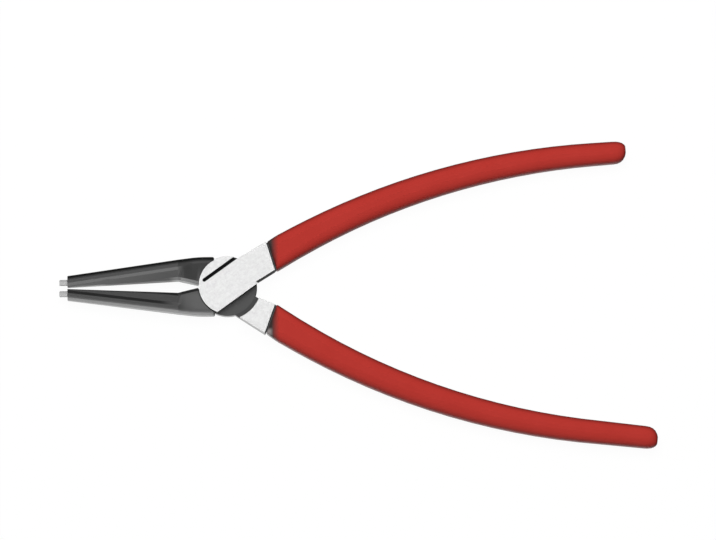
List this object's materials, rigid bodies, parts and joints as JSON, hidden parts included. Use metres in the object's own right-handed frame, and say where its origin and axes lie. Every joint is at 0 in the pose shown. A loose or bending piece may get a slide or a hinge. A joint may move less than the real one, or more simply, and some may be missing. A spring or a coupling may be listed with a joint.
{
  "type": "circlip pliers",
  "caption": "Hand pliers with long tapering jaws and straight round tips for spreading external retaining rings, with a sprung lap joint and curved dipped handles.",
  "frame": {"origin": "pivot axis at the joint's back face", "axes": "+Z along the pivot to the front face, -X along the closed jaws to the tips, +X to the handles, +Y to the front lever's handle"},
  "size_m": [0.1797, 0.093, 0.009],
  "materials": {
    "lever_steel": "black phosphate, with the joint's faces ground bright",
    "rivet_steel": "ground flush and bright",
    "spring_steel": "oiled spring wire",
    "tip_steel": "drawn spring steel",
    "grip_vinyl": "dipped vinyl, satin"
  },
  "bodies": {
    "front": {"front_lever": "lever_steel", "joint_rivet": "rivet_steel", "upper_tip": "tip_steel", "upper_grip": "grip_vinyl", "return_spring": "spring_steel"},
    "rear": {"rear_lever": "lever_steel", "lower_tip": "tip_steel", "lower_grip": "grip_vinyl"}
  },
  "joints": [
    {"name": "pivot", "type": "hinge", "parent": "front", "child": "rear", "pos_m": [0, 0, 0], "axis": [0, 0, 1], "range_deg": [0, 20], "stiffness_Nm_per_rad": 0.3, "springref_deg": -20.05, "deforming": ["return_spring"]}
  ]
}
